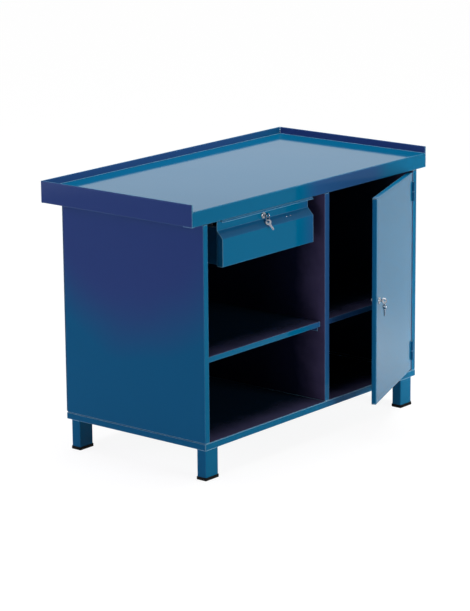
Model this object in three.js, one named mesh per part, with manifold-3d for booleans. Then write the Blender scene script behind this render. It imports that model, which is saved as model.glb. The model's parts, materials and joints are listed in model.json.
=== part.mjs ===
// Steel workbench: a folded tray worktop on a cabinet with a drawer, two shelves and one hinged door.
// Millimetres. X runs along the bench, -Y is the front and +Z is up.
// The origin is on the floor below the middle of the worktop, and the door stands ajar.

import * as THREE from 'three';
import { mergeVertices } from 'three/addons/utils/BufferGeometryUtils.js';
import Module from 'manifold-3d';

const wasm = await Module();
wasm.setup();

// Sheet metal
const worktopSheet = 2;
const cabinetSheet = 1.5;
const drawerSheet = 1.2;
const bendRadius = 1.5;
const seam = 0.3;

// Worktop
const worktopLength = 1200;
const worktopDepth = 620;
const worktopHeight = 852;
const rimHeight = 23;
const skirtDrop = 48;
const skirtReturn = 15;
const frontLip = 12;
const stiffenerWidth = 60;
const stiffenerDrop = 28;
const stiffenerFlange = 16;

// Cabinet
const sideOverhang = 50;
const backOverhang = 41;
const stripWidth = 22.5;
const stripReturn = 15;
const panelFlange = 20;
const notchGap = 2;
const floorSetBack = 6;
const dividerLeft = 51;
const dividerStrip = 23.5;

// Shelves
const shelfHeight = 383.5;
const shelfLip = 19;
const shelfReturn = 12;
const shelfBehindDoor = 2;
const shelfBackGap = 4;
const angleLeg = 15;
const angleFrontGap = 12;
const angleBackGap = 20;

// Base frame, legs and foot caps
const legHeight = 97;
const railHeight = 20;
const railDepth = 40;
const tubeWall = 2;
const tubeCorner = 3;
const legWidth = 60;
const legDepth = 35;
const rightLegInset = 23;
const rearLegInset = 20;
const capHeight = 7;
const capOverlap = 2;
const capPlug = 16;
const capWall = 3;
const capBevel = 1;

// Door and hinges
const doorThickness = 16;
const doorReturn = 12;
const doorSideGap = 1.8;
const doorTopGap = 5;
const doorBottomGap = 3.7;
const doorAjar = 21.3;
const doorStiffenerWidth = 70;
const doorStiffenerFlange = 14;
const doorStiffenerEndGap = 60;
const barrelDiameter = 12;
const barrelLength = 64;
const barrelEndInset = 33.5;
const barrelProud = 1;
const barrelClearance = 0.5;
const barrelCrown = 1;
const hingePin = 6;
const hingePinWall = 5;

// Drawer, runners and guides
const drawerFrontHeight = 143.5;
const drawerTopGap = 3;
const drawerToDivider = 61.5;
const drawerToSide = 69;
const drawerBand = 32.5;
const drawerSlope = 23;
const drawerSetback = 22;
const drawerLipDrop = 4.5;
const drawerReturnPast = 2;
const drawerBoxInset = 10;
const drawerBoxDrop = 21.7;
const drawerBackGap = 103.7;
const drawerFlange = 9;
const runnerGap = 2.5;
const runnerSideGap = 1.5;
const runnerTopFlange = 18;
const runnerFrontGap = 3;
const runnerBackReach = 8;
const guideRise = 14;
const guidePlay = 2;

// Locks and keys
const lockBarrel = 18;
const collarOverlap = 2;
const collarHeight = 3;
const plugDiameter = 12;
const plugRecess = 0.5;
const lockNutWall = 2;
const lockNutHeight = 4;
const camGap = 1.5;
const camPlay = 3;
const camThickness = 2.5;
const camWidth = 14;
const camSquare = 8;
const doorCamBite = 14;
const drawerCamTopGap = 2;
const doorLockInset = 30;
const doorLockRise = 339.5;
const lockHoleClearance = 2;
const keyThickness = 2;
const keyBow = 19;
const keyHole = 8;
const keyHoleOffset = 1.5;
const keyBladeLength = 21;
const keyBladeHeight = 7;
const keyRoot = 1;
const keyShoulder = 4;
const keyTurnGap = 3;
const keyCuts = 4;
const keyCutDepth = 1.4;
const ringWire = 1.2;
const ringSlack = 3.4;
const ringClearance = 0.4;
const spareHang = 2;
const doorSpareTwist = -50;
const drawerSpareTwist = 50;

// Smoothness of bends, arcs and revolved shapes
const bendSteps = 4;
const arcSteps = 3;
const bowSteps = 12;
const turnSteps = 28;
const ringSteps = 24;
const wireSides = 6;

// Places worked out from the sizes above
const front = -worktopDepth / 2;
const cabinetHalf = worktopLength / 2 - sideOverhang;
const cabinetBack = worktopDepth / 2 - backOverhang;
const cabinetMiddle = (front + cabinetBack) / 2;
const cabinetDepth = cabinetBack - front;
const skirtBottom = worktopHeight - skirtDrop;
const panelTop = worktopHeight - worktopSheet - seam;
const floorTop = legHeight + railHeight + seam + cabinetSheet;
const panelBottom = floorTop + seam;
const backPanelFront = cabinetBack - cabinetSheet;
const backFlangeEdge = backPanelFront - panelFlange;
const lockDepth = doorThickness + camGap;
const frontReturn = drawerSetback + lockDepth - camPlay;
const leftWall = -cabinetHalf + cabinetSheet + seam;
const rightWall = -leftWall;
const dividerRight = dividerLeft + dividerStrip;
const shelfFront = front + Math.max(doorThickness, stripReturn) + shelfBehindDoor;
const shelfBack = backPanelFront - shelfBackGap;
const doorLeft = dividerRight + doorSideGap;
const doorRight = cabinetHalf - stripWidth - doorSideGap;
const doorBottom = floorTop + doorBottomGap;
const doorTop = skirtBottom - doorTopGap;
const doorLockX = doorLeft + doorLockInset;
const doorLockZ = doorBottom + doorLockRise;
const hingeX = doorRight + doorSideGap / 2;
const hingeY = front - barrelProud;
const hinges = [
  { name: 'hinge_upper', bottom: doorTop - barrelEndInset - barrelLength },
  { name: 'hinge_lower', bottom: doorBottom + barrelEndInset },
];
const drawerLeft = -cabinetHalf + stripWidth + drawerToSide;
const drawerRight = dividerLeft - drawerToDivider;
const drawerMiddle = (drawerLeft + drawerRight) / 2;
const drawerTop = skirtBottom - drawerTopGap;
const drawerBottom = drawerTop - drawerFrontHeight;
const bandFace = front + drawerSetback;
const drawerBottomReturn = drawerSetback + drawerReturnPast;
const bandBottom = drawerTop - drawerBand;
const faceTop = bandBottom - drawerSlope;
const boxHalf = (drawerRight - drawerLeft) / 2 - drawerBoxInset;
const boxFront = bandFace + cabinetSheet + seam;
const boxBack = backPanelFront - drawerBackGap;
const boxBottom = drawerBottom + cabinetSheet + seam;
const boxTop = drawerTop - drawerBoxDrop;
const runnerWeb = boxHalf + drawerFlange + runnerGap;
const runnerFlange = drawerFlange + runnerGap - runnerSideGap;
const runnerTop = boxTop - seam;
const runnerFront = front + frontReturn + runnerFrontGap;
const runnerBack = boxBack + runnerBackReach;
const collarDiameter = lockBarrel + 2 * collarOverlap;
const lockNut = lockBarrel + 2 * lockNutWall;
const drawerLockZ = bandBottom + Math.max(collarDiameter, keyBow + keyTurnGap) / 2;
const keyBowReach = collarHeight + keyShoulder + keyBow / 2;
const keyHoleReach = keyBowReach + keyHoleOffset;
const bowBelowHole = Math.sqrt((keyBow / 2) ** 2 - keyHoleOffset ** 2);
const heldRim = bowBelowHole - keyHole / 2;
const spareRim = (keyBow - keyHole) / 2 - keyHoleOffset;
const ringRadius = (heldRim + spareRim + ringSlack + ringWire) / 2;
const ringSeat = (bowBelowHole + keyHole / 2) / 2;
const ringHang = ringRadius - (ringWire + heldRim) / 2 - ringClearance;
const sparePivot = ringSeat + ringHang + ringRadius;

// Finishes
function bluePaint() {
  return new THREE.MeshStandardMaterial({ color: '#12588f', roughness: 0.3, metalness: 0 });
}

function nickel() {
  return new THREE.MeshStandardMaterial({ color: '#c9cbcd', roughness: 0.2, metalness: 1 });
}

function zincSteel() {
  return new THREE.MeshStandardMaterial({ color: '#9aa0a5', roughness: 0.4, metalness: 1 });
}

function blackPlastic() {
  return new THREE.MeshStandardMaterial({ color: '#141618', roughness: 0.55, metalness: 0 });
}

// A closed geometry as a solid that can be joined and cut
function solid(geometry) {
  geometry.deleteAttribute('normal');
  geometry.deleteAttribute('uv');
  const merged = mergeVertices(geometry);
  const corners = merged.index.array;
  const triVerts = [];
  for (let i = 0; i < corners.length; i += 3) {
    const [a, b, c] = [corners[i], corners[i + 1], corners[i + 2]];
    if (a !== b && b !== c && c !== a) {
      triVerts.push(a, b, c);
    }
  }
  return new wasm.Manifold(new wasm.Mesh({
    numProp: 3,
    vertProperties: Float32Array.from(merged.attributes.position.array),
    triVerts: Uint32Array.from(triVerts),
  }));
}

// A named mesh from a solid
function piece(name, body, material) {
  const { vertProperties, triVerts } = body.getMesh();
  const geometry = new THREE.BufferGeometry();
  geometry.setAttribute('position', new THREE.BufferAttribute(Float32Array.from(vertProperties), 3));
  geometry.setIndex(new THREE.BufferAttribute(Uint32Array.from(triVerts), 1));
  geometry.computeVertexNormals();
  const mesh = new THREE.Mesh(geometry, material);
  mesh.name = name;
  return mesh;
}

// Extrusions along each axis: the outline is in (Y, Z), (X, Z) and (X, Y)
const axisX = new THREE.Vector3(1, 0, 0);
const axisY = new THREE.Vector3(0, 1, 0);
const axisZ = new THREE.Vector3(0, 0, 1);
const outlineYZ = new THREE.Matrix4().makeBasis(axisY, axisZ, axisX);
const outlineXZ = new THREE.Matrix4().makeBasis(axisX, axisZ, axisY.clone().negate());

function extrude(outline, depth) {
  return new THREE.ExtrudeGeometry(outline, { depth, bevelEnabled: false, curveSegments: arcSteps });
}

function alongX(outline, from, to) {
  return extrude(outline, to - from).applyMatrix4(outlineYZ).translate(from, 0, 0);
}

function alongY(outline, from, to) {
  return extrude(outline, to - from).applyMatrix4(outlineXZ).translate(0, to, 0);
}

function alongZ(outline, from, to) {
  return extrude(outline, to - from).translate(0, 0, from);
}

// A straight-sided plate or cutter between two corners
function plate(low, high) {
  const size = high.map((value, i) => value - low[i]);
  const middle = high.map((value, i) => (value + low[i]) / 2);
  return solid(new THREE.BoxGeometry(...size).translate(...middle));
}

// A geometry turned from an outline of [radius, height] points, with its axis along Z
function turned(outline) {
  const points = outline.map(([radius, height]) => new THREE.Vector2(radius, height));
  return new THREE.LatheGeometry(points, turnSteps).rotateX(Math.PI / 2);
}

function rod(radius, from, to) {
  return turned([[0, from], [radius, from], [radius, to], [0, to]]);
}

// A round cutter through the sheet at a lock's place
function lockHole(radius, x, y, z) {
  const reach = 2 * cabinetSheet;
  return solid(rod(radius, -reach, reach).rotateX(Math.PI / 2).translate(x, y, z));
}

function polygon(points) {
  return new THREE.Shape(points.map(([u, v]) => new THREE.Vector2(u, v)));
}

function roundedRectangle(u0, v0, u1, v1, radius) {
  const quarter = Math.PI / 2;
  return new THREE.Shape()
    .absarc(u1 - radius, v0 + radius, radius, -quarter, 0)
    .absarc(u1 - radius, v1 - radius, radius, 0, quarter)
    .absarc(u0 + radius, v1 - radius, radius, quarter, 2 * quarter)
    .absarc(u0 + radius, v0 + radius, radius, 2 * quarter, 3 * quarter);
}

// The unit direction from one point to the next, and the direction to its left
function heading(from, to) {
  return to.clone().sub(from).normalize();
}

function leftOf(direction) {
  return new THREE.Vector2(-direction.y, direction.x);
}

// A line of points moved sideways, with its corners kept sharp
function movedSideways(line, distance) {
  return line.map((point, i) => {
    const before = leftOf(heading(line[Math.max(i - 1, 0)], line[Math.max(i, 1)]));
    const last = line.length - 1;
    const after = leftOf(heading(line[Math.min(i, last - 1)], line[Math.min(i + 1, last)]));
    const reach = distance / (1 + before.dot(after));
    return point.clone().addScaledVector(before.add(after), reach);
  });
}

// Points and left directions along a line whose corners are rounded to a radius
function roundedLine(line, radius) {
  const last = line.length - 1;
  const samples = [{ point: line[0], left: leftOf(heading(line[0], line[1])) }];
  for (let i = 1; i < last; i += 1) {
    const into = heading(line[i - 1], line[i]);
    const out = heading(line[i], line[i + 1]);
    const turn = Math.atan2(into.cross(out), into.dot(out));
    const start = line[i].clone().addScaledVector(into, -radius * Math.tan(Math.abs(turn) / 2));
    const centre = start.clone().addScaledVector(leftOf(into), Math.sign(turn) * radius);
    for (let step = 0; step <= bendSteps; step += 1) {
      const angle = turn * step / bendSteps;
      samples.push({
        point: start.clone().rotateAround(centre, angle),
        left: leftOf(into).rotateAround(new THREE.Vector2(), angle),
      });
    }
  }
  samples.push({ point: line[last], left: leftOf(heading(line[last - 1], line[last])) });
  return samples;
}

// The outline of a sheet folded along a line, which is one face of the sheet.
// The thickness lies to the left of the line where side is 1 and to the right where it is -1.
function foldedSheet(line, sheet, side) {
  const face = line.map(([u, v]) => new THREE.Vector2(u, v));
  const samples = roundedLine(movedSideways(face, side * sheet / 2), bendRadius + sheet / 2);
  const left = samples.map((sample) => sample.point.clone().addScaledVector(sample.left, sheet / 2));
  const right = samples.map((sample) => sample.point.clone().addScaledVector(sample.left, -sheet / 2));
  return new THREE.Shape([...left, ...right.reverse()]);
}

// Worktop: a skirt with its bottom return and a hemmed upstand, in section, standing at a height
function rimSection(bottom) {
  const outer = bendRadius + worktopSheet;
  const crown = worktopHeight + rimHeight - worktopSheet;
  const insideDeck = worktopHeight - worktopSheet / 2;
  return new THREE.Shape()
    .moveTo(-skirtReturn, bottom)
    .absarc(-outer, bottom + outer, outer, -Math.PI / 2, 0)
    .absarc(-worktopSheet, crown, worktopSheet, 0, Math.PI)
    .lineTo(-2 * worktopSheet, insideDeck)
    .lineTo(-worktopSheet, insideDeck)
    .absarc(-outer, bottom + outer, bendRadius, 0, -Math.PI / 2, true)
    .lineTo(-skirtReturn, bottom + worktopSheet);
}

// A rim built as the back one and turned to its side, with its ends inside the neighbouring sheet
function rim(length, reach, turn, bottom) {
  const half = length / 2 - seam;
  return solid(alongX(rimSection(bottom), -half, half).translate(0, reach, 0).rotateZ(turn));
}

function worktop() {
  const end = worktopLength / 2;
  const deck = foldedSheet([
    [-front - worktopSheet / 2, worktopHeight],
    [front, worktopHeight],
    [front, skirtBottom],
    [front + frontReturn, skirtBottom],
    [front + frontReturn, skirtBottom + frontLip],
  ], worktopSheet, 1);
  const sideBottom = skirtBottom + seam;
  const body = solid(alongX(deck, seam - end, end - seam))
    .add(rim(worktopLength, -front, 0, skirtBottom))
    .add(rim(worktopDepth, end, Math.PI / 2, sideBottom))
    .add(rim(worktopDepth, end, -Math.PI / 2, sideBottom));
  return piece('worktop', body, bluePaint());
}

// Top-hat channels welded under the deck over the right bay
function worktopStiffener(name, middle) {
  const web = stiffenerWidth / 2;
  const low = panelTop - stiffenerDrop;
  const hat = foldedSheet([
    [middle - web - stiffenerFlange, panelTop],
    [middle - web, panelTop],
    [middle - web, low],
    [middle + web, low],
    [middle + web, panelTop],
    [middle + web + stiffenerFlange, panelTop],
  ], cabinetSheet, -1);
  return piece(name, solid(alongY(hat, runnerFront, backFlangeEdge - seam)), bluePaint());
}

// Cut-away at the front top of an upright, which clears the worktop's front return
function worktopNotch(x0, x1) {
  const back = front + frontReturn + notchGap;
  return plate([x0 - seam, front - seam, skirtBottom - seam], [x1 + seam, back, panelTop + seam]);
}

// A side panel with a front strip, a rear flange and top and bottom flanges; side is -1 left, 1 right
function sidePanel(name, side) {
  const across = (inward) => side * (cabinetHalf - inward);
  const rear = backPanelFront - seam;
  const plan = foldedSheet([
    [across(panelFlange), rear],
    [across(0), rear],
    [across(0), front],
    [across(stripWidth), front],
    [across(stripWidth), front + stripReturn],
  ], cabinetSheet, -side);
  const flangeSpan = [across(cabinetSheet / 2), across(panelFlange)].sort((a, b) => a - b);
  const flangeFront = front + frontReturn + notchGap;
  const flangeBack = rear - panelFlange;
  const flange = (z) => plate(
    [flangeSpan[0], flangeFront, z],
    [flangeSpan[1], flangeBack, z + cabinetSheet],
  );
  const [low, high] = [across(0), across(stripWidth)].sort((a, b) => a - b);
  const body = solid(alongZ(plan, panelBottom, panelTop))
    .subtract(worktopNotch(low, high))
    .add(flange(panelTop - cabinetSheet))
    .add(flange(panelBottom));
  return piece(name, side > 0 ? body.subtract(hingeSeats()) : body, bluePaint());
}

// Round seats for the hinge barrels, in the frame and in the closed door's edge
function hingeSeats() {
  const seats = hinges.map(({ bottom }) => {
    const from = bottom - barrelClearance;
    const to = bottom + barrelLength + barrelClearance;
    return solid(rod(barrelDiameter / 2 + barrelClearance, from, to).translate(hingeX, hingeY, 0));
  });
  return seats.reduce((all, seat) => all.add(seat));
}

// The back: a sheet over the rear flanges, with a top and a bottom flange between the side panels
function backPanel() {
  const flangeHalf = cabinetHalf - panelFlange - bendRadius - cabinetSheet;
  const section = foldedSheet([
    [backFlangeEdge, panelBottom],
    [cabinetBack, panelBottom],
    [cabinetBack, panelTop],
    [backFlangeEdge, panelTop],
  ], cabinetSheet, 1);
  const inset = bendRadius + cabinetSheet;
  const sheet = plate(
    [-cabinetHalf, backPanelFront, panelBottom + inset],
    [cabinetHalf, cabinetBack, panelTop - inset],
  );
  return piece('back_panel', sheet.add(solid(alongX(section, -flangeHalf, flangeHalf))), bluePaint());
}

// Cut-away at an upright's rear corner, which clears a flange of the back panel
function backFlangeNotch(z0, z1) {
  return plate([dividerLeft - seam, backFlangeEdge - seam, z0], [dividerRight + seam, cabinetBack, z1]);
}

function centreDivider() {
  const rear = backPanelFront - seam;
  const notch = bendRadius + cabinetSheet + notchGap;
  const plan = foldedSheet([
    [dividerLeft + panelFlange, rear],
    [dividerLeft, rear],
    [dividerLeft, front],
    [dividerRight, front],
    [dividerRight, front + stripReturn],
  ], cabinetSheet, 1);
  const body = solid(alongZ(plan, panelBottom, panelTop))
    .subtract(worktopNotch(dividerLeft, dividerRight))
    .subtract(backFlangeNotch(panelBottom - seam, panelBottom + notch))
    .subtract(backFlangeNotch(panelTop - notch, panelTop + seam));
  return piece('centre_divider', body, bluePaint());
}

// The floor sheet stands back from the sides and the rear, which leaves a dark joint above the base frame
function cabinetFloor() {
  const end = cabinetHalf - floorSetBack;
  const back = cabinetBack - floorSetBack;
  const outline = polygon([
    [-end, front],
    [end, front],
    [end, back],
    [-end, back],
  ]);
  return piece('cabinet_floor', solid(alongZ(outline, floorTop - cabinetSheet, floorTop)), bluePaint());
}

// A shelf pan: front and back lips, and side lips between small corner reliefs
function shelf(name, left, right) {
  const relief = bendRadius + cabinetSheet;
  const lipBottom = shelfHeight - shelfLip;
  const lengthways = foldedSheet([
    [shelfFront + shelfReturn, lipBottom],
    [shelfFront, lipBottom],
    [shelfFront, shelfHeight],
    [shelfBack, shelfHeight],
    [shelfBack, lipBottom],
  ], cabinetSheet, -1);
  const across = foldedSheet([
    [left, lipBottom],
    [left, shelfHeight],
    [right, shelfHeight],
    [right, lipBottom],
  ], cabinetSheet, -1);
  const body = solid(alongX(lengthways, left + relief, right - relief))
    .add(solid(alongY(across, shelfFront + relief, shelfBack - relief)));
  return piece(name, body, bluePaint());
}

// An angle under a shelf's end; side is 1 where it reaches to the right of its wall
function shelfAngle(name, wall, side) {
  const top = shelfHeight - shelfLip - seam;
  const section = foldedSheet([
    [wall + side * angleLeg, top],
    [wall, top],
    [wall, top - angleLeg],
  ], cabinetSheet, side);
  const body = solid(alongY(section, shelfFront + angleFrontGap, shelfBack - angleBackGap));
  return piece(name, body, bluePaint());
}

// A mitred base rail of rectangular tube, built as a front rail and turned to its side of the frame
function baseRail(name, length, reach, turn) {
  const half = length / 2 - seam;
  const outline = polygon([
    [-half, -reach],
    [half, -reach],
    [half - railDepth, railDepth - reach],
    [railDepth - half, railDepth - reach],
  ]);
  const bore = polygon([
    [tubeWall - reach, legHeight + tubeWall],
    [railDepth - tubeWall - reach, legHeight + tubeWall],
    [railDepth - tubeWall - reach, legHeight + railHeight - tubeWall],
    [tubeWall - reach, legHeight + railHeight - tubeWall],
  ]);
  const body = solid(alongZ(outline, legHeight, legHeight + railHeight).rotateZ(turn))
    .subtract(solid(alongX(bore, -half, half).rotateZ(turn)));
  return piece(name, body, bluePaint());
}

function baseFrame() {
  const frame = new THREE.Group();
  frame.position.y = cabinetMiddle;
  const quarter = Math.PI / 2;
  frame.add(
    baseRail('base_rail_front', 2 * cabinetHalf, cabinetDepth / 2, 0),
    baseRail('base_rail_back', 2 * cabinetHalf, cabinetDepth / 2, 2 * quarter),
    baseRail('base_rail_left', cabinetDepth, cabinetHalf, -quarter),
    baseRail('base_rail_right', cabinetDepth, cabinetHalf, quarter),
  );
  return frame;
}

// A rectangular tube leg and the plastic cap plugged into its foot, both centred on the leg
function legTube(name) {
  const [x, y] = [legWidth / 2, legDepth / 2];
  const outline = roundedRectangle(-x, -y, x, y, tubeCorner);
  outline.holes.push(roundedRectangle(
    tubeWall - x,
    tubeWall - y,
    x - tubeWall,
    y - tubeWall,
    tubeCorner - tubeWall,
  ));
  return piece(name, solid(alongZ(outline, capHeight + seam, legHeight - seam)), bluePaint());
}

function footCap(name) {
  const [x, y] = [legWidth / 2 + capOverlap - capBevel, legDepth / 2 + capOverlap - capBevel];
  const sole = new THREE.ExtrudeGeometry(roundedRectangle(-x, -y, x, y, tubeCorner), {
    depth: capHeight - 2 * capBevel,
    bevelThickness: capBevel,
    bevelSize: capBevel,
    bevelSegments: 1,
    curveSegments: arcSteps,
  }).translate(0, 0, capBevel);
  const plugX = legWidth / 2 - tubeWall - seam;
  const plugY = legDepth / 2 - tubeWall - seam;
  const plug = polygon([[-plugX, -plugY], [plugX, -plugY], [plugX, plugY], [-plugX, plugY]]);
  const [innerX, innerY] = [plugX - capWall, plugY - capWall];
  plug.holes.push(polygon([[-innerX, -innerY], [innerX, -innerY], [innerX, innerY], [-innerX, innerY]]));
  const round = roundedRectangle(-plugX, -plugY, plugX, plugY, tubeCorner);
  const top = capHeight + capPlug;
  const insert = solid(alongZ(plug, capHeight - capBevel, top)).intersect(solid(alongZ(round, 0, top)));
  return piece(name, solid(sole).add(insert), blackPlastic());
}

function legs() {
  const group = new THREE.Group();
  const columns = [
    ['left', -cabinetHalf + legWidth / 2],
    ['right', cabinetHalf - rightLegInset - legWidth / 2],
  ];
  const rows = [
    ['front', front + legDepth / 2],
    ['back', cabinetBack - rearLegInset - legDepth / 2],
  ];
  for (const [column, x] of columns) {
    for (const [row, y] of rows) {
      const leg = new THREE.Group();
      leg.position.set(x, y, 0);
      leg.add(legTube(`leg_${row}_${column}`), footCap(`foot_cap_${row}_${column}`));
      group.add(leg);
    }
  }
  return group;
}

// A drawer runner hung from the deck, and the guide above the drawer's flange; side is -1 left, 1 right
function drawerRunner(name, side) {
  const across = (outward) => drawerMiddle + side * (runnerWeb + outward);
  const section = foldedSheet([
    [across(runnerTopFlange), panelTop],
    [across(0), panelTop],
    [across(0), runnerTop],
    [across(-runnerFlange), runnerTop],
  ], cabinetSheet, side);
  return piece(name, solid(alongY(section, runnerFront, runnerBack)), zincSteel());
}

function drawerGuide(name, side) {
  const across = (outward) => drawerMiddle + side * (runnerWeb + outward);
  const low = boxTop + drawerSheet + guidePlay;
  const section = foldedSheet([
    [across(-runnerFlange), low],
    [across(-seam), low],
    [across(-seam), low + guideRise],
  ], cabinetSheet, side);
  return piece(name, solid(alongY(section, runnerFront, runnerBack)), zincSteel());
}

// The drawer front: bottom return, flush face, slope, recessed band and a lip turned down over it
function drawerFrontPanel() {
  const lip = drawerTop - cabinetSheet;
  const section = foldedSheet([
    [front + drawerBottomReturn, drawerBottom],
    [front, drawerBottom],
    [front, faceTop],
    [bandFace, bandBottom],
    [bandFace, lip],
    [front + cabinetSheet, lip],
    [front + cabinetSheet, drawerTop - drawerLipDrop],
  ], cabinetSheet, -1);
  const inside = cabinetSheet / 2;
  const cheek = polygon([
    [front + inside, drawerBottom + inside],
    [front + drawerBottomReturn, drawerBottom + inside],
    [front + drawerBottomReturn, bandBottom],
    [bandFace + inside, bandBottom],
    [front + inside, faceTop],
  ]);
  const hole = lockHole(lockBarrel / 2 + seam, drawerMiddle, bandFace, drawerLockZ);
  const body = solid(alongX(section, drawerLeft, drawerRight))
    .add(solid(alongX(cheek, drawerLeft + seam, drawerLeft + seam + cabinetSheet)))
    .add(solid(alongX(cheek, drawerRight - seam - cabinetSheet, drawerRight - seam)))
    .subtract(hole);
  return piece('drawer_front', body, bluePaint());
}

// The drawer box: folded sides with sliding flanges, a front wall cut round the lock and a back wall
function drawerBox() {
  const section = foldedSheet([
    [drawerMiddle - boxHalf - drawerFlange, boxTop],
    [drawerMiddle - boxHalf, boxTop],
    [drawerMiddle - boxHalf, boxBottom],
    [drawerMiddle + boxHalf, boxBottom],
    [drawerMiddle + boxHalf, boxTop],
    [drawerMiddle + boxHalf + drawerFlange, boxTop],
  ], drawerSheet, 1);
  const inside = drawerSheet / 2;
  const wall = (y) => plate(
    [drawerMiddle - boxHalf + inside, y, boxBottom + inside],
    [drawerMiddle + boxHalf - inside, y + drawerSheet, boxTop],
  );
  const lockNotch = lockHole(lockNut / Math.sqrt(3) + lockHoleClearance, drawerMiddle, boxFront, drawerLockZ);
  const body = solid(alongY(section, boxFront, boxBack))
    .add(wall(boxFront))
    .add(wall(boxBack - drawerSheet))
    .subtract(lockNotch);
  return piece('drawer_box', body, bluePaint());
}

// Lock parts share a frame: x to the right, y up and z out of the face, with the face at z = 0
function lockBody(name) {
  const bore = plugDiameter / 2 + seam;
  const barrel = lockBarrel / 2;
  const collar = collarDiameter / 2;
  const outline = [
    [bore, -lockDepth + seam],
    [barrel, -lockDepth + seam],
    [barrel, seam],
    [collar, seam],
    [collar, collarHeight / 2],
    [collar - collarHeight / 2, collarHeight],
    [bore, collarHeight],
    [bore, -lockDepth + seam],
  ];
  return piece(name, solid(turned(outline)), nickel());
}

function lockNutPiece(name, sheet) {
  const corner = lockNut / Math.sqrt(3);
  const hexagon = polygon(Array.from({ length: 6 }, (_, i) => {
    const angle = i * Math.PI / 3;
    return [corner * Math.cos(angle), corner * Math.sin(angle)];
  }));
  const top = -sheet - seam;
  const hole = solid(rod(lockBarrel / 2 + seam, top - 2 * lockNutHeight, 0));
  return piece(name, solid(alongZ(hexagon, top - lockNutHeight, top)).subtract(hole), zincSteel());
}

// The plug turns in the body: a keyway in front and a square for the cam behind
function lockPlug(name) {
  const half = camSquare / 2;
  const back = -lockDepth - camThickness - seam;
  const keyway = [keyThickness / 2 + seam, keyBladeHeight / 2 + seam];
  const tip = keyBowReach - keyBow / 2 - keyBladeLength - seam;
  const tang = plate([-half, -half, back], [half, half, 0]).intersect(solid(rod(plugDiameter / 2, back, 0)));
  const body = solid(rod(plugDiameter / 2, -lockDepth + seam, collarHeight - plugRecess))
    .add(tang)
    .subtract(plate([-keyway[0], -keyway[1], tip], [keyway[0], keyway[1], collarHeight]));
  return piece(name, body, nickel());
}

// A cam that points down at angle 0 and is turned clockwise by the angle, seen from the front
function lockCam(name, reach, clockwise) {
  const half = camWidth / 2;
  const outline = new THREE.Shape()
    .absarc(0, 0, half + camPlay, 0, Math.PI)
    .absarc(0, half - reach, half, Math.PI, 2 * Math.PI);
  const square = plate(
    [-camSquare / 2 - seam, -camSquare / 2 - seam, -2 * lockDepth],
    [camSquare / 2 + seam, camSquare / 2 + seam, 0],
  );
  const blade = alongZ(outline, -lockDepth - camThickness, -lockDepth).rotateZ(-clockwise);
  return piece(name, solid(blade).subtract(square), zincSteel());
}

// A flat key's two shapes: a round bow with its ring hole, and a blade with cuts along -X from the bow
function keyShapes() {
  const tip = -keyBow / 2 - keyBladeLength;
  const root = keyRoot - keyBow / 2;
  const half = keyBladeHeight / 2;
  const pitch = (keyBladeLength - 2 * half) / keyCuts;
  const edge = [[root, -half], [root, half], [tip + half, half], [tip, 0], [tip + half, -half]];
  for (let i = 0; i < keyCuts; i += 1) {
    const at = tip + half + i * pitch;
    edge.push([at + pitch / 2, keyCutDepth - half], [at + pitch, -half]);
  }
  const bow = new THREE.Shape().absarc(0, 0, keyBow / 2, 0, 2 * Math.PI);
  bow.holes.push(new THREE.Path().absarc(keyHoleOffset, 0, keyHole / 2, 0, 2 * Math.PI));
  const bowRing = new THREE.ExtrudeGeometry(bow, {
    depth: keyThickness,
    bevelEnabled: false,
    curveSegments: bowSteps,
  });
  return { bow: bowRing, blade: extrude(polygon(edge), keyThickness) };
}

// The key in the lock: its flat stands upright and the bow sticks out of the face
function insertedKey(name) {
  const { bow, blade } = keyShapes();
  const place = (geometry) => solid(
    geometry.translate(keyBowReach, 0, -keyThickness / 2).rotateY(-Math.PI / 2),
  );
  return piece(name, place(bow).add(place(blade)), nickel());
}

// The ring hangs on the rim of the bow below its ring hole
function keyRing(name) {
  const wire = new THREE.TorusGeometry(ringRadius, ringWire / 2, wireSides, ringSteps);
  wire.translate(0, -ringSeat - ringHang, keyHoleReach);
  return piece(name, solid(wire), nickel());
}

// The spare key hangs blade down on the bottom of the ring, twisted in degrees.
// Its lean in radians lays it along the slope under the drawer's lock.
function spareKey(name, twist, lean) {
  const { bow, blade } = keyShapes();
  const hang = keyHoleOffset + keyHole / 2 - spareHang;
  const turn = THREE.MathUtils.degToRad(twist + 90);
  const place = (geometry) => solid(
    geometry.translate(-hang, 0, -keyThickness / 2).rotateZ(Math.PI / 2).rotateY(turn),
  );
  const spare = new THREE.Group();
  spare.position.set(0, -sparePivot, keyHoleReach);
  spare.rotation.x = -lean;
  spare.add(piece(name, place(bow).add(place(blade)), nickel()));
  return spare;
}

function lock(name, sheet, camReach, camTurn, spareTwist, spareLean) {
  const group = new THREE.Group();
  group.rotation.x = Math.PI / 2;
  group.add(
    lockBody(`${name}_lock_body`),
    lockNutPiece(`${name}_lock_nut`, sheet),
    lockPlug(`${name}_lock_plug`),
    lockCam(`${name}_lock_cam`, camReach, camTurn),
    insertedKey(`${name}_key`),
    keyRing(`${name}_key_ring`),
    spareKey(`${name}_spare_key`, spareTwist, spareLean),
  );
  return group;
}

function drawer() {
  const group = new THREE.Group();
  const camReach = skirtBottom + frontLip - drawerCamTopGap - drawerLockZ;
  const spareLean = Math.atan2(drawerSetback, drawerSlope);
  const drawerLock = lock('drawer', cabinetSheet, camReach, Math.PI / 2, drawerSpareTwist, spareLean);
  drawerLock.position.set(drawerMiddle, bandFace, drawerLockZ);
  group.add(drawerFrontPanel(), drawerBox(), drawerLock);
  return group;
}

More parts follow.
